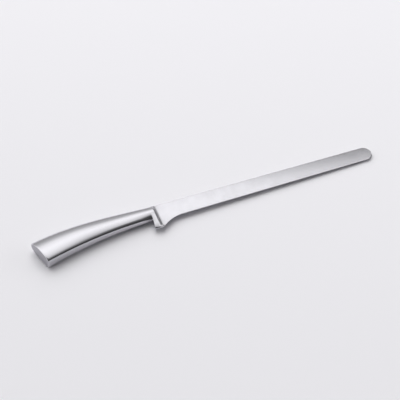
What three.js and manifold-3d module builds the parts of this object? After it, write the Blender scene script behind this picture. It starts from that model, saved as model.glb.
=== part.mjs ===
// Slicing knife, all stainless steel: a long narrow blade with a round tip, a wedge-shaped bolster with
// a finger guard, and a hollow arched handle pressed from two half shells and closed by a butt cap.
// Millimetres. In the knife's own frame +X points to the tip, +Y to the spine and +Z out of the right-hand
// side, with the mid-plane at z = 0 and the origin on the blade's spine in the middle of its hollowed root.
// The finished knife lies on its left side, so it is pitched to rest along the handle.

import * as THREE from 'three';
import { mergeVertices } from 'three/addons/utils/BufferGeometryUtils.js';
import Module from 'manifold-3d';

const wasm = await Module();
wasm.setup();

const { lerp, degToRad } = THREE.MathUtils;

// Blade
const bladeLength = 261;
const bladeWidthHeel = 21;
const bladeWidthTip = 18.4;
const spineThicknessHeel = 2.2;
const spineThicknessTip = 1.7;
const grindTaper = 0.03; // half thickness lost for each millimetre from the spine to the edge
const bevelWidth = 1;
const edgeThickness = 0.12;
const heelSweepRadius = 36;
const rootEnd = 2.6; // where the root's hollow runs out onto the blade's flank
const hollowRadius = 5;
const hollowBlend = 0.02; // how far the hollow runs in under the blade's flank
const lipHeight = 2.3; // left standing under the hollow at the guard's bottom
const tenonLength = 4;
const tenonThickness = 1.6;

// Bolster and finger guard
const bolsterFront = - 2.4;
const bolsterRear = - 6.2;
const guardDepth = 31.2; // from the blade's spine line
const guardHalfThickness = 1.9; // at the guard's rear bottom corner
const guardThicknessRise = 0.22; // half thickness gained for each millimetre towards the spine
const guardThicknessFall = 0.12; // half thickness lost for each millimetre towards the tip
const guardRearLean = 0.12; // how far the rear face leans back for each millimetre down
const guardCornerRadius = 1.2; // at the rear bottom corner
const flankTop = 14; // where the guard's flanks start, from the blade's spine line
const spigotLength = 7;

// Handle
const handleLength = 137.5; // from the origin to the butt's spine corner
const spineSetback = 0.6; // the handle's spine below the blade's spine line at the bolster
const handleDepthFront = 17.9; // spine to belly behind the bolster
const buttDrop = 5.4; // the butt's spine corner below the blade's spine line
const buttDepth = 34; // spine to belly along the butt face
const buttSlant = degToRad( 16.5 );
const spineSlopeFront = 0.06;
const spineSlopeButt = 0.25;
const bellySlopeFront = 0.012;
const bellySlopeButt = 0.3;
const halfThicknessButt = 8.1;
const halfThicknessNeck = 6.65;
const neckLength = 26; // the handle narrows to the bolster over this length
const neckNarrowing = 0.3; // half thickness lost over the neck
const bellyHalfWidthFront = 3.1;
const bellyHalfWidthButt = 5;
const wall = 1.2; // sheet thickness of the half shells
const capThickness = 2;
const capPlugLength = 4;
const capChamfer = 0.5;

// Handle section
const crownPlaceFront = 0.5; // where the section is thickest, as a share of its depth
const crownPlaceButt = 0.57;
const noseFullness = 0.75; // how square the spine is, as a share of the half thickness
const crownReachUp = 0.32; // how far the crown stays flat towards the spine, as a share of the depth
const crownReachDown = 0.2; // and towards the belly
const flankFullness = 0.7; // how straight the flank falls to the crease, as a share of its fall
const creaseRadiusFront = 2.6; // between the flank and the flat belly
const creaseRadiusButt = 2;
const creaseRadiusLeast = 0.3; // inside the sheet
const creaseLead = 1.12; // how far the crease reaches up the flank, in its radii
const creaseAngle = degToRad( 28 ); // the flank's slope where it meets the crease

// Inside the handle
const tangLength = 54;
const tangHeight = 10;
const tangThickness = 2.4;
const beddingCover = 4; // resin behind the tang's end

// Fits
const weldGap = 0.3; // left between pieces that are welded edge to edge
const fitGap = 0.3; // left round pieces that plug into others

// Fineness of the facets
const noseSteps = 8;
const flankSteps = 6;
const creaseSteps = 3;
const shellStations = 26;
const fillStations = 10;
const sweepSteps = 12;
const tipSteps = 12;
const arcSteps = 10;
const tipEnd = 0.97; // share of the tip's quarter turns that the blade is drawn to

const point2 = ( x, y ) => new THREE.Vector2( x, y );
const point3 = ( x, y, z ) => new THREE.Vector3( x, y, z );

// Places worked out from the sizes above
const seamSpine = point2( bolsterRear, - spineSetback );
const seamBelly = point2( bolsterRear, - spineSetback - handleDepthFront );
const seamMiddle = seamSpine.clone().lerp( seamBelly, 0.5 );
const buttSpine = point2( - handleLength, - buttDrop );
const buttDown = point2( Math.sin( buttSlant ), - Math.cos( buttSlant ) );
const buttBelly = buttSpine.clone().addScaledVector( buttDown, buttDepth );
const handleRun = handleLength + bolsterRear;
const tangFront = bolsterFront - tenonLength - weldGap;
const tangRear = tangFront - tangLength;
const plugInset = wall + fitGap;

// Half thickness gained for each millimetre towards the butt: the handle rests along this line
const buttCrownX = lerp( buttSpine.x, buttBelly.x, crownPlaceButt );
const restSlope = ( halfThicknessButt - halfThicknessNeck ) / ( - neckLength - buttCrownX );

// Places along the handle, as shares of its run behind the bolster
const shareOf = ( length ) => length / handleRun;
const spigotStart = - shareOf( ( bolsterFront - bolsterRear ) / 2 );
const spigotEnd = shareOf( weldGap + spigotLength );
const beddingStart = spigotEnd + shareOf( fitGap );
const beddingEnd = shareOf( bolsterRear - tangRear + beddingCover );
const capSeam = 1 - shareOf( capThickness );
const plugStart = capSeam - shareOf( capPlugLength );
const chamferStart = 1 - shareOf( capChamfer );

// Skins a row of rings with equal point counts into one closed body. The rings follow one another along X.
function loft( rings ) {

	const outline = ( ring ) => ring.map( ( p ) => point2( p.y, p.z ) );
	const clockwise = THREE.ShapeUtils.isClockWise( outline( rings[ 0 ] ) );
	const ordered = clockwise ? rings : rings.map( ( ring ) => [ ...ring ].reverse() );
	const count = ordered[ 0 ].length;
	const last = ( ordered.length - 1 ) * count;
	const index = [];
	for ( let r = 0; r < last; r += count ) {

		for ( let i = 0; i < count; i ++ ) {

			const j = ( i + 1 ) % count;
			index.push( r + i, r + count + i, r + count + j, r + i, r + count + j, r + j );

		}

	}

	const endFaces = ( ring ) => THREE.ShapeUtils.triangulateShape( outline( ring ), [] );
	for ( const [ a, b, c ] of endFaces( ordered[ 0 ] ) ) index.push( c, b, a );
	for ( const [ a, b, c ] of endFaces( ordered.at( - 1 ) ) ) index.push( last + a, last + b, last + c );
	const towardsButt = ordered.at( - 1 )[ 0 ].x < ordered[ 0 ][ 0 ].x;
	if ( towardsButt ) index.reverse();
	const geometry = new THREE.BufferGeometry().setFromPoints( ordered.flat() );
	geometry.setIndex( index );
	return geometry;

}

function toSolid( geometry ) {

	const bare = geometry.clone();
	bare.deleteAttribute( 'normal' );
	bare.deleteAttribute( 'uv' );
	const merged = mergeVertices( bare );
	const vertProperties = new Float32Array( merged.attributes.position.array );
	const triVerts = new Uint32Array( merged.index.array );
	return new wasm.Manifold( new wasm.Mesh( { numProp: 3, vertProperties, triVerts } ) );

}

function toGeometry( solid ) {

	const mesh = solid.getMesh();
	const geometry = new THREE.BufferGeometry();
	geometry.setAttribute( 'position', new THREE.BufferAttribute( mesh.vertProperties, 3 ) );
	geometry.setIndex( new THREE.BufferAttribute( mesh.triVerts, 1 ) );
	return geometry;

}

function boxSolid( low, high ) {

	const size = high.clone().sub( low );
	const middle = low.clone().lerp( high, 0.5 );
	const box = new THREE.BoxGeometry( size.x, size.y, size.z );
	return toSolid( box.translate( middle.x, middle.y, middle.z ) );

}

// The blade's flanks are two planes: the half thickness falls evenly to the tip and to the edge.
function bladeHalfThickness( x, y ) {

	return lerp( spineThicknessHeel, spineThicknessTip, x / bladeLength ) / 2 + grindTaper * y;

}

// A blade section: the spine, the flanks and the two bevels of the edge. Sharpness 0 leaves the bevels out.
function bladeRing( x, top, bottom, sharpness ) {

	const shoulder = Math.min( bottom + bevelWidth, lerp( bottom, top, 0.5 ) );
	const edge = lerp( bladeHalfThickness( x, bottom ), edgeThickness / 2, sharpness );
	const right = [
		point3( x, top, bladeHalfThickness( x, top ) ),
		point3( x, shoulder, bladeHalfThickness( x, shoulder ) ),
		point3( x, bottom, edge ),
	];
	const left = right.map( ( p ) => point3( p.x, p.y, - p.z ) );
	return [ ...right, ...left.reverse() ];

}

function bladeSolid() {

	const rings = [ bladeRing( bolsterFront + weldGap, 0, - guardDepth, 0 ) ];

	// The concave heel, from the guard to the straight edge
	const sweepAngle = Math.acos( 1 - ( guardDepth - bladeWidthHeel ) / heelSweepRadius );
	const heelEnd = rootEnd + heelSweepRadius * Math.sin( sweepAngle );
	for ( let i = 0; i <= sweepSteps; i ++ ) {

		const angle = sweepAngle * ( 1 - i / sweepSteps );
		const x = heelEnd - heelSweepRadius * Math.sin( angle );
		const bottom = - bladeWidthHeel - heelSweepRadius * ( 1 - Math.cos( angle ) );
		rings.push( bladeRing( x, 0, bottom, i / sweepSteps ) );

	}

	// The round tip, ending just short of where its section vanishes
	const tipRadius = bladeWidthTip / 2;
	for ( let i = 0; i <= tipSteps; i ++ ) {

		const angle = tipEnd * Math.PI / 2 * i / tipSteps;
		const x = bladeLength - tipRadius + tipRadius * Math.sin( angle );
		const reach = tipRadius * Math.cos( angle );
		rings.push( bladeRing( x, - tipRadius + reach, - tipRadius - reach, 1 ) );

	}

	return toSolid( loft( rings ) );

}

// Half of a handle section at a share of the handle's run, from the spine to the middle of the belly: x runs
// down the depth and y out from the mid-plane. A blunt nose rises to the crown, then the flank falls to a
// tight crease and the flat belly.
function halfSection( share, depth, half, inset ) {

	const crownPlace = lerp( crownPlaceFront, crownPlaceButt, share );
	const bellyHalf = lerp( bellyHalfWidthFront, bellyHalfWidthButt, share );
	const outerRadius = lerp( creaseRadiusFront, creaseRadiusButt, share );
	const creaseRadius = Math.max( outerRadius - inset, creaseRadiusLeast );
	const innerDepth = depth - 2 * inset;
	const spine = point2( inset, 0 );
	const crown = point2( inset + crownPlace * innerDepth, half - inset );
	const corner = point2( depth - inset, bellyHalf - inset );
	const upFlank = point2( - Math.cos( creaseAngle ), Math.sin( creaseAngle ) );
	const flankLength = ( crown.y - corner.y ) / Math.sin( creaseAngle );
	const creaseStart = corner.clone().addScaledVector( upFlank, creaseLead * creaseRadius );
	const creaseEnd = point2( corner.x, corner.y - creaseRadius );
	const nosePull = point2( spine.x, noseFullness * crown.y );
	const crownPullUp = point2( crown.x - crownReachUp * innerDepth, crown.y );
	const crownPullDown = point2( crown.x + crownReachDown * innerDepth, crown.y );
	const flankPull = corner.clone().addScaledVector( upFlank, flankFullness * flankLength );
	const nose = new THREE.CubicBezierCurve( spine, nosePull, crownPullUp, crown );
	const flank = new THREE.CubicBezierCurve( crown, crownPullDown, flankPull, creaseStart );
	const crease = new THREE.QuadraticBezierCurve( creaseStart, corner, creaseEnd );
	return [
		...nose.getPoints( noseSteps ),
		...flank.getPoints( flankSteps ).slice( 1 ),
		...crease.getPoints( creaseSteps ).slice( 1 ),
		point2( corner.x, 0 ),
	];

}

function handleHalfThickness( x ) {

	const straight = halfThicknessNeck + restSlope * ( - neckLength - x );
	const neck = Math.max( 0, ( x + neckLength ) / neckLength );
	return straight - neckNarrowing * neck * neck;

}

function archedLine( front, rear, slopeFront, slopeRear ) {

	const third = ( front.x - rear.x ) / 3;
	const frontPull = point2( front.x - third, front.y + slopeFront * third );
	const rearPull = point2( rear.x + third, rear.y + slopeRear * third );
	return new THREE.CubicBezierCurve( front, frontPull, rearPull, rear );

}

const spineLine = archedLine( seamSpine, buttSpine, spineSlopeFront, spineSlopeButt );
const bellyLine = archedLine( seamBelly, buttBelly, - bellySlopeFront, bellySlopeButt );

// Half a ring of the handle at a share of its run. Side is 1 for right and -1 for left, and no point comes
// nearer to the mid-plane than the clearance.
function handleHalf( share, inset, side, clearance ) {

	const spine = spineLine.getPoint( share );
	const belly = bellyLine.getPoint( share );
	const depth = spine.distanceTo( belly );
	const crownPlace = lerp( crownPlaceFront, crownPlaceButt, share );
	const half = handleHalfThickness( lerp( spine.x, belly.x, crownPlace ) );
	return halfSection( share, depth, half, inset ).map( ( p ) => {

		const place = spine.clone().lerp( belly, p.x / depth );
		return point3( place.x, place.y, side * Math.max( p.y, clearance ) );

	} );

}

function joinHalves( right, left ) {

	return [ ...right, ...left.slice( 1, - 1 ).reverse() ];

}

function handleRing( share, inset ) {

	return joinHalves( handleHalf( share, inset, 1, 0 ), handleHalf( share, inset, - 1, 0 ) );

}

// The handle's front section carried on through the bolster, narrowing towards the blade.
function neckRing( x ) {

	const half = halfSection( 0, handleDepthFront, handleHalfThickness( x ), 0 );
	const onSide = ( side ) => half.map( ( p ) => point3( x, seamSpine.y - p.x, side * p.y ) );
	return joinHalves( onSide( 1 ), onSide( - 1 ) );

}

// A filling that follows the inside of the handle between two shares of its run.
function handleFill( from, to ) {

	const rings = [];
	for ( let i = 0; i <= fillStations; i ++ ) {

		rings.push( handleRing( lerp( from, to, i / fillStations ), plugInset ) );

	}

	return loft( rings );

}

// One pressed half shell: each ring is the sheet's section, out along its outside and back along its inside.
function shellGeometry( side ) {

	const rings = [];
	for ( let i = 0; i <= shellStations; i ++ ) {

		const share = lerp( shareOf( weldGap ), capSeam - shareOf( weldGap ), i / shellStations );
		const outside = handleHalf( share, 0, side, weldGap / 2 );
		const inside = handleHalf( share, wall, side, weldGap / 2 );
		rings.push( [ ...outside, ...inside.reverse() ] );

	}

	return loft( rings );

}

// The butt cap: a plug inside the shells, then the plate, with its outer edge chamfered.
function capGeometry() {

	return loft( [
		handleRing( plugStart, plugInset ),
		handleRing( capSeam, plugInset ),
		handleRing( capSeam, 0 ),
		handleRing( chamferStart, 0 ),
		handleRing( 1, capChamfer ),
	] );

}

// The guard's block: its flanks are flat facets that thin towards the tip and towards the guard's bottom.
function guardSolid() {

	const rearX = ( y ) => seamBelly.x - guardRearLean * ( seamBelly.y - y );
	const bottom = - guardDepth;
	const cornerTop = bottom + guardCornerRadius;
	const outline = new THREE.Shape();
	outline.moveTo( rootEnd, - flankTop );
	outline.lineTo( bolsterRear, - flankTop );
	outline.lineTo( bolsterRear, seamBelly.y );
	outline.lineTo( rearX( cornerTop ), cornerTop );
	outline.quadraticCurveTo( rearX( bottom ), bottom, rearX( bottom ) + guardCornerRadius, bottom );
	outline.lineTo( rootEnd, bottom );
	const options = { depth: 1, bevelEnabled: false, curveSegments: creaseSteps };
	const geometry = new THREE.ExtrudeGeometry( outline, options );
	const position = geometry.attributes.position;
	for ( let i = 0; i < position.count; i ++ ) {

		const rise = guardThicknessRise * ( position.getY( i ) + guardDepth );
		const fall = guardThicknessFall * ( position.getX( i ) - bolsterRear );
		const half = guardHalfThickness + rise - fall;
		position.setZ( i, position.getZ( i ) > 0 ? half : - half );

	}

	return toSolid( geometry );

}

// The form that hollows one side of the blade's root, tilted with the blade's flank.
function hollowCutter( side ) {

	const flank = spineThicknessHeel / 2 - hollowBlend;
	const reach = 2 * guardDepth;
	const start = rootEnd - hollowRadius;
	const profile = new THREE.Shape();
	profile.moveTo( start, reach );
	profile.lineTo( start, flank + hollowRadius );
	profile.absarc( rootEnd, flank + hollowRadius, hollowRadius, Math.PI, 1.5 * Math.PI, false );
	profile.lineTo( reach, flank );
	profile.lineTo( reach, reach );
	const options = { depth: reach, bevelEnabled: false, curveSegments: arcSteps };
	const geometry = new THREE.ExtrudeGeometry( profile, options );
	const bottom = lipHeight - guardDepth;
	const shift = side > 0 ? bottom + reach : bottom;
	geometry.rotateX( side * Math.PI / 2 ).translate( 0, shift, 0 );
	const position = geometry.attributes.position;
	for ( let i = 0; i < position.count; i ++ ) {

		position.setZ( i, position.getZ( i ) + side * grindTaper * position.getY( i ) );

	}

	return toSolid( geometry );

}

// A flat bar with a round rear end, in the middle of the handle's front section and grown by a margin.
function tangBar( front, rear, margin ) {

	const reach = tangHeight / 2 + margin;
	const thickness = tangThickness + 2 * margin;
	const outline = new THREE.Shape();
	outline.moveTo( front, seamMiddle.y - reach );
	outline.lineTo( front, seamMiddle.y + reach );
	outline.absarc( rear + tangHeight / 2, seamMiddle.y, reach, Math.PI / 2, 1.5 * Math.PI, false );
	const options = { depth: thickness, bevelEnabled: false, curveSegments: arcSteps };
	return new THREE.ExtrudeGeometry( outline, options ).translate( 0, 0, - thickness / 2 );

}

// The bolster and the blade's root are one form, parted at the bolster's front face
const neck = toSolid( loft( [ bolsterRear, bolsterFront, 0, rootEnd ].map( neckRing ) ) );
const blank = neck.add( guardSolid() );
const forging = blank.subtract( hollowCutter( 1 ) ).subtract( hollowCutter( - 1 ) );
const far = 2 * handleLength;
const ahead = boxSolid( point3( bolsterFront + weldGap, - far, - far ), point3( far, far, far ) );
const behind = boxSolid( point3( - far, - far, - far ), point3( bolsterFront, far, far ) );

const tenonRear = bolsterFront - tenonLength;
const tenonLow = point3( tenonRear, seamMiddle.y - tangHeight / 2, - tenonThickness / 2 );
const tenonHigh = point3( rootEnd, seamMiddle.y + tangHeight / 2, tenonThickness / 2 );
const tenon = boxSolid( tenonLow, tenonHigh );
const blade = bladeSolid().add( forging.intersect( ahead ) ).add( tenon );

const spigotRings = [ spigotStart, spigotEnd ].map( ( share ) => handleRing( share, plugInset ) );
const spigot = toSolid( loft( spigotRings ) );
const slot = toSolid( tangBar( far, - far, fitGap ) );
const bolster = forging.intersect( behind ).add( spigot ).subtract( slot );

const pocket = toSolid( tangBar( 0, tangRear, fitGap ) );
const bedding = toSolid( handleFill( beddingStart, beddingEnd ) ).subtract( pocket );
const ballast = handleFill( beddingEnd + shareOf( fitGap ), plugStart - shareOf( fitGap ) );

// Materials
const satinSteel = { color: 0xc9cacd, roughness: 0.32, metalness: 1 };
const groundSteel = { color: 0xd9dadc, roughness: 0.24, metalness: 1 };
const mattSteel = { color: 0x8e8f92, roughness: 0.6, metalness: 1 };
const millSteel = { color: 0x85868a, roughness: 0.5, metalness: 1 };
const castResin = { color: 0x5a574f, roughness: 0.8, metalness: 0 };
const mineralFill = { color: 0x9a8f7c, roughness: 1, metalness: 0 };

const knife = new THREE.Group();

function addPiece( name, geometry, look ) {

	const mesh = new THREE.Mesh( geometry, new THREE.MeshStandardMaterial( look ) );
	mesh.name = name;
	knife.add( mesh );

}

addPiece( 'blade', toGeometry( blade ), groundSteel );
addPiece( 'bolster', toGeometry( bolster ), satinSteel );
addPiece( 'tang', tangBar( tangFront, tangRear, 0 ), millSteel );
addPiece( 'tang_bedding', toGeometry( bedding ), castResin );
addPiece( 'handle_shell_right', shellGeometry( 1 ), satinSteel );
addPiece( 'handle_shell_left', shellGeometry( - 1 ), satinSteel );
addPiece( 'ballast', ballast, mineralFill );
addPiece( 'butt_cap', capGeometry(), mattSteel );

// Laid on its left side: pitched until the handle's side lies level, then set on the ground over the origin
knife.rotation.y = Math.atan( restSlope );
const lying = new THREE.Box3().setFromObject( knife, true );
const middle = lying.getCenter( new THREE.Vector3() );
knife.position.set( - middle.x, - middle.y, - lying.min.z );

const slicingKnife = new THREE.Group();
slicingKnife.name = 'slicing_knife';
slicingKnife.add( knife );

export default slicingKnife;
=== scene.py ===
# Slicing knife, all stainless steel, lying on its left side on a pale table.
# Each piece is modelled in millimetres in the knife's own frame, with +X to the tip, +Y to the spine and
# +Z out of the right-hand side, and is then laid down in metres where the frame has it.

import math

import bpy
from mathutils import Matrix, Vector


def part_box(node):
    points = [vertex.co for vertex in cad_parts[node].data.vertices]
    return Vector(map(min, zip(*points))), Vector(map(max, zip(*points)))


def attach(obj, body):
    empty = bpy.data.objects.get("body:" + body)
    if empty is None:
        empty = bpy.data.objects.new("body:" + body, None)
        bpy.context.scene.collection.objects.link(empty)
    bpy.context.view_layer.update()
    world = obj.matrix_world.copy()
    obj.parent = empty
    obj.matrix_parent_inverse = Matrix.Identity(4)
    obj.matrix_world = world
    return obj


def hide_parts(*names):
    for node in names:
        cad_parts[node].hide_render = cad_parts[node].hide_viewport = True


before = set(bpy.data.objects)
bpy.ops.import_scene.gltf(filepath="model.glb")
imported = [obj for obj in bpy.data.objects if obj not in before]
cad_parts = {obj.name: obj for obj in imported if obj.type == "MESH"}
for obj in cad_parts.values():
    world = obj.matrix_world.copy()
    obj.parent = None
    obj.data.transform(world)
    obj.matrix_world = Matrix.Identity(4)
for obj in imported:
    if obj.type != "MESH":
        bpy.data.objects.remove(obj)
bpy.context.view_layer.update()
bpy.context.scene.view_settings.view_transform = "Standard"


# Bolster
# A wedge of stainless steel with a finger guard, forged between two dies that part at the mid-plane.
# Its flanks are ground to flat facets, and the blade and the tang are welded into its slot.
bolster_front = -2.4
bolster_rear = -6.2
spine_setback = 0.6  # the bolster's spine lies this far below the blade's
guard_depth = 31.2
guard_half_thickness = 2.05  # at the rear bottom corner
guard_rise = 0.178  # half thickness gained for each millimetre towards the spine
guard_fall = 0.138  # half thickness lost for each millimetre towards the tip, at the rear
guard_hollow = 0.006  # the fall eases by this times the distance squared
guard_rear_lean = 0.12  # the rear face leans back this much for each millimetre below the belly
guard_rear_radius = 0.4
guard_edge_radius = 1.3  # of the bottom edge, at the rear
guard_edge_radius_fall = 0.13  # lost for each millimetre towards the tip
guard_rounded_share = 0.88  # of the half thickness, the most that an edge's radius takes
least_radius = 0.05
guard_low_edge = 7.0  # the facet bends away over this height at the bottom
guard_low_drop = 1.1
low_bend_full = -3.0  # the bend has its full depth behind here
low_bend_end = -1.0  # and has faded out ahead of here
facet_top = -14.0  # the flat facet runs out into the rounded neck above this height
facet_run_out = 3.0  # and has dropped by a millimetre this far above
facet_blend = 0.25


def cubic(points, t):
    """A point on a cubic curve."""
    a, b, c, d = points
    s = 1 - t
    return a * s ** 3 + b * 3 * s * s * t + c * 3 * s * t * t + d * t ** 3


def smooth_max(a, b, blend):
    """The larger of two heights, with a rounded change from one to the other."""
    near = max(blend - abs(a - b), 0)
    return max(a, b) + near * near / (4 * blend)


def smooth_step(low, high, value):
    """Goes from 0 at low to 1 at high, level at both."""
    share = min(max((value - low) / (high - low), 0), 1)
    return share * share * (3 - 2 * share)


def between(start, end, share):
    """A value at a share of the way from start to end."""
    return start + (end - start) * share


# The handle's section, which the bolster's neck carries on towards the blade
front_depth = 17.5  # spine to belly, behind the bolster
front_belly_half = 2.6
butt_belly_half = 5.0
pinch = 1.4  # the belly narrows by this much at the bolster
pinch_turn = math.radians(17)  # and the flank turns down to it by this much more
pinch_share = 0.11  # over this share of the handle's run
crown_place_front = 0.56  # where the section is thickest, as a share of its depth
crown_place_butt = 0.6
crown_reach_up = 0.31  # how far the crown's flatness reaches to the spine, as a share of the depth
crown_reach_down_front = 0.12
crown_reach_down_butt = 0.19
nose_fullness = 0.75
flank_fullness = 0.7
crease_radius_front = 2.6
crease_radius_butt = 2.0
crease_radius_least = 0.3
crease_lead = 1.12  # how far the crease reaches up the flank, in its radii
crease_tail = 0.5  # how far it reaches round the belly, in its radii
crease_tail_most = 0.9  # and the most of the half belly that it takes
crease_angle = math.radians(28)
nose_to = 0.4  # the section's stretches end at these places, from the spine at 0 to mid-belly at 1
flank_to = 0.72
crease_to = 0.88
neck_length = 26.0
neck_half_thickness = 6.65
butt_half_thickness = 8.1
butt_crown_x = -131.99  # the handle's solid rests on its crown from the neck to here
rest_slope = (butt_half_thickness - neck_half_thickness) / (-neck_length - butt_crown_x)
waist_start = -90.0  # the handle slims from here to the waist behind the neck
waist_end = -25.0
waist_depth = 1.0
flare_start = -30.0  # and widens again from here to the bolster
flare_height = 0.15
halvings = 24  # in the search for the place that lies at a given depth


def handle_section(place, share, depth, half, inset=0):
    """A point of half the section: place is 0 at the spine and 1 at mid-belly, share is along the handle."""
    crown_place = between(crown_place_front, crown_place_butt, share)
    reach_down = between(crown_reach_down_front, crown_reach_down_butt, share)
    radius = max(between(crease_radius_front, crease_radius_butt, share) - inset, crease_radius_least)
    depth -= 2 * inset
    half -= inset
    pinched = max(1 - share / pinch_share, 0) ** 2
    belly_half = between(front_belly_half, butt_belly_half, share) - pinch * pinched - inset
    flank_angle = crease_angle + pinch_turn * pinched
    flank_length = (half - belly_half) / math.sin(flank_angle)
    up_flank = Vector((-math.cos(flank_angle), math.sin(flank_angle)))
    crown = Vector((crown_place * depth, half))
    corner = Vector((depth, belly_half))
    mid_belly = Vector((depth, 0))
    crease_start = corner + up_flank * crease_lead * radius
    crease_end = corner - Vector((0, min(crease_tail * radius, crease_tail_most * belly_half)))
    nose = (Vector((0, 0)), Vector((0, nose_fullness * half)),
            crown - Vector((crown_reach_up * depth, 0)), crown)
    flank = (crown, crown + Vector((reach_down * depth, 0)),
             corner + up_flank * flank_fullness * flank_length, crease_start)
    crease = (crease_start, corner.lerp(crease_start, 1 / 3), corner.lerp(crease_end, 1 / 3), crease_end)
    belly = (crease_end, crease_end.lerp(mid_belly, 1 / 3), crease_end.lerp(mid_belly, 2 / 3), mid_belly)
    stretches = ((0, nose_to, nose), (nose_to, flank_to, flank), (flank_to, crease_to, crease),
                 (crease_to, 1, belly))
    for start, end, curve in stretches:
        if place <= end:
            return cubic(curve, (place - start) / (end - start))
    return mid_belly


def handle_half_thickness(x):
    straight = neck_half_thickness + rest_slope * (-neck_length - x)
    waist = waist_depth * smooth_step(waist_start, waist_end, x)
    flare = max((x - flare_start) / (bolster_rear - flare_start), 0)
    return straight - waist + flare_height * flare * flare


def neck_height(x, y):
    """Half thickness of the neck at a point."""
    depth = -spine_setback - y
    if depth <= 0 or depth >= front_depth:
        return 0
    half = handle_half_thickness(x)
    low = 0.0
    high = crease_to
    for _ in range(halvings):
        middle = (low + high) / 2
        if handle_section(middle, 0, front_depth, half).x < depth:
            low = middle
        else:
            high = middle
    return handle_section(low, 0, front_depth, half).y


def forged_height(x, y):
    """Half thickness of the forging: the neck, with the guard's flat facet standing out of it."""
    ahead = x - bolster_rear
    up = y + guard_depth
    facet = guard_half_thickness + guard_rise * up - guard_fall * ahead + guard_hollow * ahead ** 2
    above = max(y - facet_top, 0) / facet_run_out
    low = max(1 - up / guard_low_edge, 0) * smooth_step(low_bend_end, low_bend_full, x)
    return smooth_max(neck_height(x, y), facet - above * above - guard_low_drop * low * low, facet_blend)


def edge_drop(distance, radius):
    """How far a rounded edge falls away at a distance from the side that it rounds into."""
    inside = max(radius - distance, 0)
    return radius - math.sqrt(radius * radius - inside * inside)


def rounding(radius, height, most):
    """An edge's radius, held to a share of the half thickness there."""
    return max(min(radius, most * height), least_radius)


def bottom_radius(x):
    return guard_edge_radius - guard_edge_radius_fall * max(x - bolster_rear, 0)


def both_ends(share):
    """Spaces points closer together at both ends."""
    return (1 - math.cos(math.pi * share)) / 2


def bolster_form(along, across):
    """The right-hand die: along from the handle's seam to the blade, across from the spine to the bottom."""
    y = between(-spine_setback, -guard_depth, both_ends(across))
    below_belly = max(-spine_setback - y - front_depth, 0)
    rear = bolster_rear - guard_rear_lean * below_belly
    x = between(rear, bolster_front, both_ends(along))
    height = forged_height(x, y)
    height -= edge_drop(y + guard_depth, rounding(bottom_radius(x), height, guard_rounded_share))
    neck = min(height, neck_height(x, y))
    rear_radius = rounding(guard_rear_radius, height, guard_rounded_share)
    return Vector((x, y, max(height - edge_drop(x - rear, rear_radius), neck)))


# Meshes are pressed from flat sheets, closed, and laid down
blade_length = 261.0
rest_pitch = math.atan(rest_slope)
millimetre = 0.001
weld_distance = 0.0005
smooth_angle = math.radians(32)


def pressed_sheet(name, columns, rows, form):
    """A flat sheet, pressed point by point onto a form given by shares along and across it."""
    bpy.ops.object.select_all(action="DESELECT")
    bpy.ops.mesh.primitive_grid_add(x_subdivisions=columns, y_subdivisions=rows, size=1)
    sheet = bpy.context.object
    sheet.name = name
    for vertex in sheet.data.vertices:
        vertex.co = form(vertex.co.x + 0.5, vertex.co.y + 0.5)
    return sheet


def select_open_edges():
    """Goes into edit mode and selects the edges where the mesh isn't closed."""
    bpy.ops.object.mode_set(mode="EDIT")
    bpy.ops.mesh.select_mode(type="EDGE")
    bpy.ops.mesh.select_all(action="DESELECT")
    bpy.ops.mesh.select_non_manifold()


def merge_doubles():
    bpy.ops.object.mode_set(mode="EDIT")
    bpy.ops.mesh.select_all(action="SELECT")
    bpy.ops.mesh.remove_doubles(threshold=weld_distance)


def turn_outwards():
    """Turns every face of a closed mesh outwards and leaves edit mode."""
    bpy.ops.object.mode_set(mode="EDIT")
    bpy.ops.mesh.select_all(action="SELECT")
    bpy.ops.mesh.normals_make_consistent(inside=False)
    bpy.ops.object.mode_set(mode="OBJECT")


def mirror_at_mid_plane(half):
    """Closes a half form down to the mid-plane and adds the other half."""
    select_open_edges()
    bpy.ops.mesh.extrude_region_move()
    bpy.ops.transform.resize(value=(1, 1, 0), center_override=(0, 0, 0))
    merge_doubles()
    bpy.ops.object.mode_set(mode="OBJECT")
    mirror = half.modifiers.new("other half", "MIRROR")
    mirror.use_axis = (False, False, True)
    mirror.merge_threshold = weld_distance
    bpy.ops.object.modifier_apply(modifier=mirror.name)
    turn_outwards()


def select_only(*pieces):
    """Selects these pieces alone and makes the first of them active."""
    bpy.ops.object.select_all(action="DESELECT")
    for piece in pieces:
        piece.select_set(True)
    bpy.context.view_layer.objects.active = pieces[0]


def lay_down(piece, node, material):
    """Moves a finished piece from the knife's own frame to where the knife lies."""
    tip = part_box("blade")[1]
    heel_x = tip.x - blade_length * millimetre * math.cos(rest_pitch)
    rest_height = (neck_half_thickness - rest_slope * neck_length) * math.cos(rest_pitch)
    piece.scale = (millimetre, millimetre, millimetre)
    piece.rotation_euler = (0, rest_pitch, 0)
    piece.location = (heel_x, tip.y, rest_height * millimetre)
    select_only(piece)
    bpy.ops.object.transform_apply(location=True, rotation=True, scale=True)
    bpy.ops.object.shade_smooth_by_angle(angle=smooth_angle)
    piece.data.materials.clear()
    piece.data.materials.append(material)
    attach(piece, "root")
    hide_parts(node)


def linear(hex_colour):
    """An sRGB hex colour as linear red, green, blue and alpha."""
    values = [int(hex_colour[i:i + 2], 16) / 255 for i in (1, 3, 5)]
    return [v / 12.92 if v <= 0.04045 else ((v + 0.055) / 1.055) ** 2.4 for v in values] + [1.0]


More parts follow.
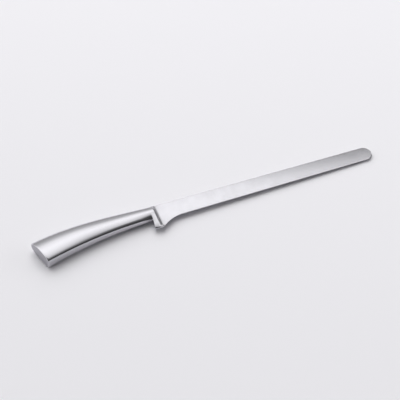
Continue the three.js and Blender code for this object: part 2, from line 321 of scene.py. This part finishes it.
def add_node(tree, kind, settings=None, links=None):
    """Adds a node, sets its properties and inputs, and links other nodes' outputs to its inputs."""
    node = tree.nodes.new(kind)
    for name, value in (settings or {}).items():
        if isinstance(name, int) or name in node.inputs:
            node.inputs[name].default_value = value
        else:
            setattr(node, name, value)
    for name, output in (links or {}).items():
        tree.links.new(output, node.inputs[name])
    return node


def steel_finish(name, colour, grain_mm, stretch, gloss, relief):
    """Worked steel: its grain varies the roughness and stands up a little, and polishing clouds it."""
    cloud_mm = 9
    relief_mm = 0.02
    grain_weight = 0.5
    material = bpy.data.materials.new(name)
    material.use_nodes = True
    tree = material.node_tree
    shader = tree.nodes["Principled BSDF"]
    shader.inputs["Base Color"].default_value = linear(colour)
    shader.inputs["Metallic"].default_value = 1
    place = add_node(tree, "ShaderNodeTexCoord")
    drawn = add_node(tree, "ShaderNodeMapping", {"Scale": stretch}, {"Vector": place.outputs["Object"]})
    grain = add_node(tree, "ShaderNodeTexNoise", {"Scale": 1 / (grain_mm * millimetre), "Detail": 3},
                     {"Vector": drawn.outputs["Vector"]})
    clouds = add_node(tree, "ShaderNodeTexNoise", {"Scale": 1 / (cloud_mm * millimetre), "Detail": 2},
                      {"Vector": place.outputs["Object"]})
    mixed = add_node(tree, "ShaderNodeMath", {"operation": "MULTIPLY_ADD", 1: grain_weight},
                     {0: grain.outputs["Fac"], 2: clouds.outputs["Fac"]})
    rough = add_node(tree, "ShaderNodeMapRange",
                     {"From Min": 0.4, "From Max": 1.1, "To Min": gloss[0], "To Max": gloss[1]},
                     {"Value": mixed.outputs["Value"]})
    bump = add_node(tree, "ShaderNodeBump", {"Strength": relief, "Distance": relief_mm * millimetre},
                    {"Height": grain.outputs["Fac"]})
    tree.links.new(rough.outputs["Result"], shader.inputs["Roughness"])
    tree.links.new(bump.outputs["Normal"], shader.inputs["Normal"])
    return material


# Satin finish: soft, bright reflections. The grain is drawn coarser than the real grit, so that it shows.
satin_steel = steel_finish("satin stainless steel", "#d4d3d8", grain_mm=0.35, stretch=(0.12, 1, 1),
                           gloss=(0.12, 0.18), relief=0.005)
bolster = pressed_sheet("bolster_forging", columns=40, rows=110, form=bolster_form)
mirror_at_mid_plane(bolster)
lay_down(bolster, "bolster", satin_steel)


# Blade
# A strip of hardened stainless steel, taper ground on both sides, with a round tip and a concave heel.
# Its root swells in a hollow fillet to the bolster's front face, where it is welded on.
blade_width_heel = 21.0
blade_width_tip = 18.4
tip_radius = blade_width_tip / 2
tip_start = blade_length - tip_radius
spine_thickness_heel = 2.2
spine_thickness_tip = 1.7
spine_radius = 0.25
blade_rounded_share = 0.6
grind_taper = 0.04  # half thickness lost on average for each millimetre from the spine to the edge
bevel_width = 0.5
edge_thickness = 0.12
heel_sweep_radius = 36.0
honing_start = 0.2  # the edge is honed from this share of the heel's sweep
root_end = 2.6
hollow_start = 2.0
hollow_width_top = 4.1
hollow_width_low = 3.15
hollow_lead = 0.3  # its slope where it meets the flank, as a share of its average slope
hollow_blend = 0.06
lip_height = 1.8  # the lip is left standing this far up from the guard's bottom
lip_blend = 0.2
lip_end = 1.2  # the lip fades out from here to the root's end
swell_end = 13.0  # the blade thickens gently from here to its root
swell_height = 0.2
root_to = 0.3  # the sheet's columns for the root, the heel and the edge end at these shares
heel_to = 0.55
edge_to = 0.75


def flank_height(x, y, width):
    """Half thickness of the blade, ground very slightly convex from the spine to the edge."""
    spine_thickness = between(spine_thickness_heel, spine_thickness_tip, x / blade_length)
    swell = max(swell_end - x, 0) / (swell_end - root_end)
    return spine_thickness / 2 - grind_taper * y * y / width + swell_height * swell * swell


def root_height(x, y):
    """The root: the forging, hollowed down to the blade's flank but for a lip at the guard's bottom."""
    flank = flank_height(x, y, guard_depth)
    hollow_width = between(hollow_width_top, hollow_width_low, -y / guard_depth)
    step = forged_height(hollow_start - hollow_width, y) - flank
    share = max(hollow_start - x, 0) / hollow_width
    hollow = flank + step * share * (hollow_lead + (1 - hollow_lead) * share)
    lip = smooth_step(lip_height + lip_blend, lip_height - lip_blend, y + guard_depth)
    lip *= smooth_step(root_end, lip_end, x)
    forged = forged_height(x, y)
    hollow += lip * max(forged - hollow, 0)
    return smooth_max(flank, -smooth_max(-forged, -hollow, hollow_blend), hollow_blend)


def blade_outline(along):
    """The outline at a share of the sheet: x, the top, the bottom and how far the edge is honed."""
    sweep_angle = math.acos(1 - (guard_depth - blade_width_heel) / heel_sweep_radius)
    heel_end = root_end + heel_sweep_radius * math.sin(sweep_angle)
    if along < root_to:
        return between(bolster_front, root_end, along / root_to), 0, -guard_depth, 0
    if along < heel_to:
        share = (along - root_to) / (heel_to - root_to)
        angle = sweep_angle * (1 - share)
        x = heel_end - heel_sweep_radius * math.sin(angle)
        bottom = -blade_width_heel - heel_sweep_radius * (1 - math.cos(angle))
        return x, 0, bottom, smooth_step(honing_start, 1, share)
    if along < edge_to:
        share = (along - heel_to) / (edge_to - heel_to)
        return between(heel_end, tip_start, share), 0, -between(blade_width_heel, blade_width_tip, share), 1
    angle = (along - edge_to) / (1 - edge_to) * math.pi / 2
    reach = tip_radius * math.cos(angle)
    return tip_start + tip_radius * math.sin(angle), reach - tip_radius, -reach - tip_radius, 1


def blade_form(along, across):
    """The right-hand flank: along from the bolster to the tip, across from the spine to the edge."""
    x, top, bottom, honed_share = blade_outline(along)
    y = between(top, bottom, both_ends(across))
    width = -bottom
    to_spine = -y
    to_edge = y - bottom
    if along > edge_to:
        width = blade_width_tip
        to_rim = tip_radius - math.hypot(x - tip_start, y + tip_radius)
        to_spine = to_rim if y > -tip_radius else tip_radius
        to_edge = to_rim if y < -tip_radius else tip_radius
    height = root_height(x, y) if x < root_end else flank_height(x, y, width)
    height -= edge_drop(max(to_spine, 0), min(spine_radius, height))
    blunt = height - edge_drop(max(to_edge, 0), rounding(bottom_radius(x), height, blade_rounded_share))
    honed = height
    if to_edge < bevel_width:
        shoulder = flank_height(x, bottom + bevel_width, width)
        honed = between(edge_thickness / 2, shoulder, max(to_edge, 0) / bevel_width)
    return Vector((x, y, max(between(blunt, min(height, honed), honed_share), 0)))


# Ground finish: fine lines across the blade draw its reflections out. They are coarser than the real grit.
ground_steel = steel_finish("ground stainless steel", "#d6d5da", grain_mm=0.5, stretch=(1, 0.03, 1),
                            gloss=(0.16, 0.25), relief=0.15)
blade = pressed_sheet("blade_strip", columns=120, rows=72, form=blade_form)
mirror_at_mid_plane(blade)
lay_down(blade, "blade", ground_steel)


# Tang
# A flat bar of plain steel with a round end, welded to the blade's tenon and hidden in the handle.
# It is left as it came from the rolling mill.

# Mill finish: dull and grey, with faint streaks along the bar.
mill_steel = steel_finish("mill-finish steel", "#86868a", grain_mm=0.6, stretch=(0.05, 1, 1),
                          gloss=(0.4, 0.6), relief=0.2)
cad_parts["tang"].material_slots[0].material = mill_steel


# Tang bedding
# Filled resin, cast round the tang in the front of the handle.
# It holds the tang and seals the handle.


def cast_filling(name, binder, grain_colour, grain_mm, relief):
    """A cast of grains in a binder: dull, speckled and slightly rough."""
    relief_mm = 0.1
    material = bpy.data.materials.new(name)
    material.use_nodes = True
    tree = material.node_tree
    shader = tree.nodes["Principled BSDF"]
    place = add_node(tree, "ShaderNodeTexCoord")
    grains = add_node(tree, "ShaderNodeTexVoronoi", {"Scale": 1 / (grain_mm * millimetre)},
                      {"Vector": place.outputs["Object"]})
    speckle = add_node(tree, "ShaderNodeValToRGB", {}, {0: grains.outputs["Distance"]})
    speckle.color_ramp.elements[0].color = linear(grain_colour)
    speckle.color_ramp.elements[1].color = linear(binder)
    rough = add_node(tree, "ShaderNodeMapRange", {"To Min": 0.7, "To Max": 0.95},
                     {"Value": grains.outputs["Distance"]})
    bump = add_node(tree, "ShaderNodeBump", {"Strength": relief, "Distance": relief_mm * millimetre},
                    {"Height": grains.outputs["Distance"]})
    tree.links.new(speckle.outputs["Color"], shader.inputs["Base Color"])
    tree.links.new(rough.outputs["Result"], shader.inputs["Roughness"])
    tree.links.new(bump.outputs["Normal"], shader.inputs["Normal"])
    return material


# Filled resin: a dull dark grey with fine, paler specks.
resin = cast_filling("cast filled resin", "#4f4c45", "#66635a", grain_mm=0.5, relief=0.2)
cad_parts["tang_bedding"].material_slots[0].material = resin


# Handle shells
# Two halves pressed from stainless sheet, welded along the spine and the belly and to the bolster.
# The welds are ground flush, so only the arched form shows, with a tight crease above the flat belly.
handle_length = 137.5
handle_run = handle_length + bolster_rear
butt_drop = 5.4
butt_depth = 33.7
butt_slant = math.radians(16.5)
spine_slope_front = 0.06
spine_slope_butt = 0.25
belly_slope_front = 0.012
belly_slope_butt = 0.3
sheet_thickness = 0.6
seam = 0.02  # each half stands this far off the mid-plane
cap_thickness = 2.0
shell_columns = 90
shell_rows = 80
cap_seam = 1 - cap_thickness / handle_run  # where the shells end, as a share of the handle's run


def arched_line(front, rear, slope_front, slope_rear):
    """A cubic curve from front to rear, with its slope given at both ends."""
    third = (front.x - rear.x) / 3
    return (front, front + Vector((-third, slope_front * third)),
            rear + Vector((third, slope_rear * third)), rear)


butt_spine = Vector((-handle_length, -butt_drop))
butt_belly = butt_spine + butt_depth * Vector((math.sin(butt_slant), -math.cos(butt_slant)))
seam_spine = Vector((bolster_rear, -spine_setback))
seam_belly = Vector((bolster_rear, -spine_setback - front_depth))
spine_line = arched_line(seam_spine, butt_spine, spine_slope_front, spine_slope_butt)
belly_line = arched_line(seam_belly, butt_belly, -belly_slope_front, belly_slope_butt)


def handle_point(share, place, inset):
    """A point of the handle's right half: share along its run, place round its section."""
    spine = cubic(spine_line, share)
    belly = cubic(belly_line, share)
    depth = (belly - spine).length
    crown_place = between(crown_place_front, crown_place_butt, share)
    half = handle_half_thickness(between(spine.x, belly.x, crown_place))
    point = handle_section(place, share, depth, half, inset)
    level = spine.lerp(belly, (point.x + inset) / depth)
    return Vector((level.x, level.y, point.y))


def half_shell(name, side):
    """Presses the outside and the inside of one half, and closes the sheet's edges between them."""

    def wall_form(inset, outward):
        def form(along, across):
            place = across if outward else 1 - across
            point = handle_point(cap_seam * along, place, inset)
            return Vector((point.x, point.y, side * (point.z + seam)))
        return form

    outside = pressed_sheet(name, shell_columns, shell_rows, wall_form(0, side > 0))
    inside = pressed_sheet(name + "_inside", shell_columns, shell_rows, wall_form(sheet_thickness, side < 0))
    select_only(outside, inside)
    bpy.ops.object.join()
    select_open_edges()
    bpy.ops.mesh.bridge_edge_loops()
    turn_outwards()
    return outside


for side, node in ((1, "handle_shell_right"), (-1, "handle_shell_left")):
    lay_down(half_shell(node + "_pressing", side), node, satin_steel)


# Ballast
# Mineral sand bound with resin, poured into the handle behind the bedding.
# It balances the long blade and stops the hollow handle from ringing.

# Bound sand: rough and buff, with pale grains.
sand = cast_filling("bound mineral sand", "#857b69", "#a89c86", grain_mm=1.2, relief=0.5)
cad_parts["ballast"].material_slots[0].material = sand


# Butt cap
# A plate of stainless steel that plugs the handle's end, welded in and blasted matt.
# Its rim is rounded and polished by handling, so it catches a thin line of light.
rim_radius = 1.2
belly_rim_radius = 0.4
rim_steps = 6
face_inset = 2 * rim_radius  # the ring of the flat face that is filled in
plug_length = 4.0
plug_inset = 1.5
face_turn = 0.97  # what faces this nearly straight back, as a cosine, is blasted


def cap_rings(radius):
    """Rings from the plug to the face, each a share of the handle's run and an inset from its outline."""
    rings = [(cap_seam - plug_length / handle_run, plug_inset), (cap_seam, plug_inset), (cap_seam, 0)]
    for step in range(rim_steps + 1):
        turn = step / rim_steps * math.pi / 2
        set_back = radius * (1 - math.sin(turn))
        rings.append((1 - set_back / handle_run, radius * (1 - math.cos(turn))))
    rings.append((1, face_inset))
    return rings


def cap_form(around, through):
    """The cap: around from the spine by way of the belly and back, through from the plug to the face."""
    right = around <= 0.5
    place = 2 * around if right else 2 - 2 * around
    rings = cap_rings(between(rim_radius, belly_rim_radius, smooth_step(flank_to, crease_to, place)))
    share, inset = rings[round(through * (len(rings) - 1))]
    point = handle_point(share, place, inset)
    return Vector((point.x, point.y, point.z if right else -point.z))


cap_rows = len(cap_rings(rim_radius)) - 1
cap = pressed_sheet("butt_plate", columns=160, rows=cap_rows, form=cap_form)
merge_doubles()
select_open_edges()
bpy.ops.mesh.fill_holes(sides=0)
bpy.ops.mesh.poke()
turn_outwards()
# Blasted finish: grey and even, scattering most of its reflection. Its dimples are coarser than real ones.
matt_steel = steel_finish("blasted stainless steel", "#b6b5ba", grain_mm=0.3, stretch=(1, 1, 1),
                          gloss=(0.38, 0.52), relief=0.1)
lay_down(cap, "butt_cap", matt_steel)
cap.data.materials.append(satin_steel)
straight_back = Vector((-math.cos(butt_slant), -math.sin(butt_slant), 0))
for face in cap.data.polygons:
    face.material_index = 0 if face.normal.dot(straight_back) > face_turn else 1


# Floor
# A plain pale table top of painted board.
# The knife lies on it, and it takes the knife's soft shadow.
bpy.ops.object.select_all(action="DESELECT")
bpy.ops.mesh.primitive_plane_add(size=8)
floor = bpy.context.object
floor.name = "table_top"
# Matt paint: hardly any gloss, so that only the shadow shows on it.
paint = bpy.data.materials.new("pale matt paint")
paint.use_nodes = True
paint_shader = paint.node_tree.nodes["Principled BSDF"]
paint_shader.inputs["Base Color"].default_value = linear("#f3f2f6")
paint_shader.inputs["Roughness"].default_value = 0.9
paint_shader.inputs["Specular IOR Level"].default_value = 0.1
floor.data.materials.append(paint)


# Light
# A wide scrim rises behind the table and curves over it. It fades out at the right, so that the blade
# goes from white at the heel to grey at the tip, but low down the white sweep reaches further right.
# The room in front is dark. Two lamps light the table and make the knife's shadow.
scrim_strength = 1.45
scrim_levels = {0: 0.29, 22: 0.33, 33: 0.5, 41: 0.85, 49: 1.0, 62: 0.9, 80: 0.7, 94: 0.5, 103: 0.23,
                110: 0.08, 125: 0.05, 180: 0.04}  # by degrees up from the far horizon and over
scrim_end_turn = math.radians(27)
scrim_end_start = 0.545  # the scrim fades out over this range, in cosines from its end's direction
scrim_end_stop = 0.64
beyond_strength = 0.25
sweep_top = 28  # degrees up, where the sweep begins to fade
sweep_stop = 40  # and where it has faded out
sweep_end_start = 0.5  # the sweep dims over this range of the direction's part to the right
sweep_end_stop = 0.85
sweep_end_level = 0.55
half_turn = 180  # in degrees

world = bpy.data.worlds.new("studio")
world.use_nodes = True
bpy.context.scene.world = world
tree = world.node_tree
way = add_node(tree, "ShaderNodeTexCoord")
parts = add_node(tree, "ShaderNodeSeparateXYZ", {}, {0: way.outputs["Generated"]})
rise = add_node(tree, "ShaderNodeMath", {"operation": "ARCTAN2"},
                {0: parts.outputs["Z"], 1: parts.outputs["Y"]})
rise_share = add_node(tree, "ShaderNodeMath", {"operation": "DIVIDE", 1: math.pi},
                      {0: rise.outputs["Value"]})
scrim = add_node(tree, "ShaderNodeValToRGB", {}, {0: rise_share.outputs["Value"]})
stops = scrim.color_ramp.elements
for degrees in list(scrim_levels)[1:-1]:
    stops.new(degrees / half_turn)
for stop, level in zip(stops, scrim_levels.values()):
    stop.color = (level, level, level, 1)
to_right = add_node(tree, "ShaderNodeVectorMath",
                    {"operation": "DOT_PRODUCT", 1: (math.cos(scrim_end_turn), math.sin(scrim_end_turn), 0)},
                    {0: way.outputs["Generated"]})
scrim_end = add_node(tree, "ShaderNodeMapRange",
                     {"interpolation_type": "SMOOTHSTEP", "From Min": scrim_end_start,
                      "From Max": scrim_end_stop, "To Min": scrim_strength, "To Max": beyond_strength},
                     {"Value": to_right.outputs["Value"]})
sweep = add_node(tree, "ShaderNodeMapRange",
                 {"From Min": sweep_top / half_turn, "From Max": sweep_stop / half_turn,
                  "To Min": scrim_strength, "To Max": 0},
                 {"Value": rise_share.outputs["Value"]})
sweep_end = add_node(tree, "ShaderNodeMapRange",
                     {"From Min": sweep_end_start, "From Max": sweep_end_stop,
                      "To Min": 1, "To Max": sweep_end_level},
                     {"Value": parts.outputs["X"]})
lit_sweep = add_node(tree, "ShaderNodeMath", {"operation": "MULTIPLY"},
                     {0: sweep.outputs["Result"], 1: sweep_end.outputs["Result"]})
reach = add_node(tree, "ShaderNodeMath", {"operation": "MAXIMUM"},
                 {0: scrim_end.outputs["Result"], 1: lit_sweep.outputs["Value"]})
room = add_node(tree, "ShaderNodeMath", {"operation": "MULTIPLY"},
                {0: scrim.outputs["Color"], 1: reach.outputs["Value"]})
studio = tree.nodes["Background"]
studio.inputs["Color"].default_value = linear("#ffffff")
tree.links.new(room.outputs["Value"], studio.inputs["Strength"])
# Beyond the table's edge, the camera sees a plain pale backdrop and not the studio.
backdrop = add_node(tree, "ShaderNodeBackground", {"Color": linear("#f0f0f2"), "Strength": 1.0})
rays = add_node(tree, "ShaderNodeLightPath")
seen = add_node(tree, "ShaderNodeMixShader", {},
                {0: rays.outputs["Is Camera Ray"], 1: studio.outputs["Background"],
                 2: backdrop.outputs["Background"]})
tree.links.new(seen.outputs["Shader"], tree.nodes["World Output"].inputs["Surface"])


def table_lamp(name, place, size, watts):
    """A square lamp turned to the knife and kept out of the steel's reflections."""
    lamp_data = bpy.data.lights.new(name, "AREA")
    lamp_data.size = size
    lamp_data.energy = watts
    lamp = bpy.data.objects.new(name, lamp_data)
    bpy.context.scene.collection.objects.link(lamp)
    lamp.location = place
    lamp.rotation_euler = (-lamp.location).to_track_quat("-Z", "Y").to_euler()
    lamp.visible_glossy = False


table_lamp("overhead softbox", (0.2, 1.8, 2.0), size=3.0, watts=45)
table_lamp("low fill", (1.9, -0.4, 0.65), size=1.4, watts=8)


# Camera
# It looks down on the knife from in front and from the left.
# A long lens keeps the knife's lines nearly parallel.
view_azimuth = math.radians(22.03)
view_height = math.radians(46.38)
view_distance = 1.313
target = Vector((-0.0076, 0.0139, 0))
towards = Vector((-math.sin(view_azimuth) * math.cos(view_height),
                  -math.cos(view_azimuth) * math.cos(view_height),
                  math.sin(view_height)))
camera_data = bpy.data.cameras.new("camera")
camera_data.sensor_width = 36
camera_data.lens = 108
camera = bpy.data.objects.new("camera", camera_data)
bpy.context.scene.collection.objects.link(camera)
camera.location = target + towards * view_distance
camera.rotation_euler = (-towards).to_track_quat("-Z", "Y").to_euler()
bpy.context.scene.camera = camera
